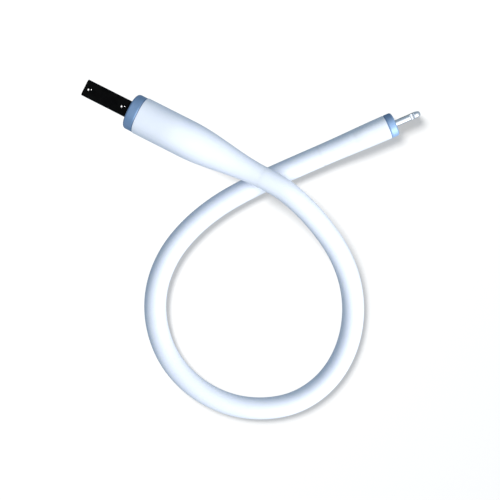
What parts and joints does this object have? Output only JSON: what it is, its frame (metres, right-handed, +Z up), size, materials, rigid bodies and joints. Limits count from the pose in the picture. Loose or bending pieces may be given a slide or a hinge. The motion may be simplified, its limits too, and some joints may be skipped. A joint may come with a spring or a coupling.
{
  "type": "charging cable",
  "caption": "Short bendable charging lead: a flat computer plug and a thin phone plug on a thick white silicone cable that lies in a crossed loop.",
  "frame": {"origin": "on the surface that the lead lies on, below the middle of the two plug ends", "axes": "+X towards the phone plug end, -Y towards the cable loop, +Z up from the surface that the lead lies on"},
  "size_m": [0.0883, 0.089, 0.0151],
  "materials": {
    "white_silicone": "satin, soft to the touch",
    "collar_blue_grey": "satin moulded plastic",
    "shell_black": "smooth black plating",
    "contact_gold": "plated, bright",
    "insulator_black": "fine matte",
    "steel": "stainless, polished",
    "can_steel": "tinned sheet",
    "mould_plastic": "plain moulded",
    "copper": "bare copper",
    "braid_tinned": "woven tinned copper",
    "wire_red": "insulation",
    "wire_white": "insulation",
    "wire_black": "insulation",
    "wire_green": "insulation",
    "board_green": "solder mask",
    "chip_black": "moulded epoxy",
    "ceramic_tan": "fired ceramic"
  },
  "bodies": {
    "root": {"usb_shell": "shell_black", "usb_insulator": "insulator_black", "usb_contact_power": "contact_gold", "usb_contact_data_minus": "contact_gold", "usb_contact_data_plus": "contact_gold", "usb_contact_ground": "contact_gold", "usb_shield_upper": "can_steel", "usb_shield_lower": "can_steel", "usb_crimp": "can_steel", "usb_inner_mould": "mould_plastic", "usb_collar": "collar_blue_grey", "usb_boot": "white_silicone", "usb_leads": "copper", "cable_jacket": "white_silicone", "cable_braid": "braid_tinned", "armature_wire": "can_steel", "wire_red_insulation": "wire_red", "wire_white_insulation": "wire_white", "wire_black_insulation": "wire_black", "wire_green_insulation": "wire_green", "wire_red_copper": "copper", "wire_white_copper": "copper", "wire_black_copper": "copper", "wire_green_copper": "copper", "tip_boot": "white_silicone", "tip_collar": "collar_blue_grey", "tip_inner_mould": "mould_plastic", "tip_crimp": "can_steel", "tip_shield_left": "can_steel", "tip_shield_right": "can_steel", "tip_leads": "copper", "tip_board": "board_green", "tip_charge_chip": "chip_black", "tip_guard_chip": "chip_black", "tip_capacitors": "ceramic_tan", "tip_frame": "steel", "tip_insulator": "insulator_black", "tip_pads_left": "contact_gold", "tip_pads_right": "contact_gold"}
  },
  "joints": []
}
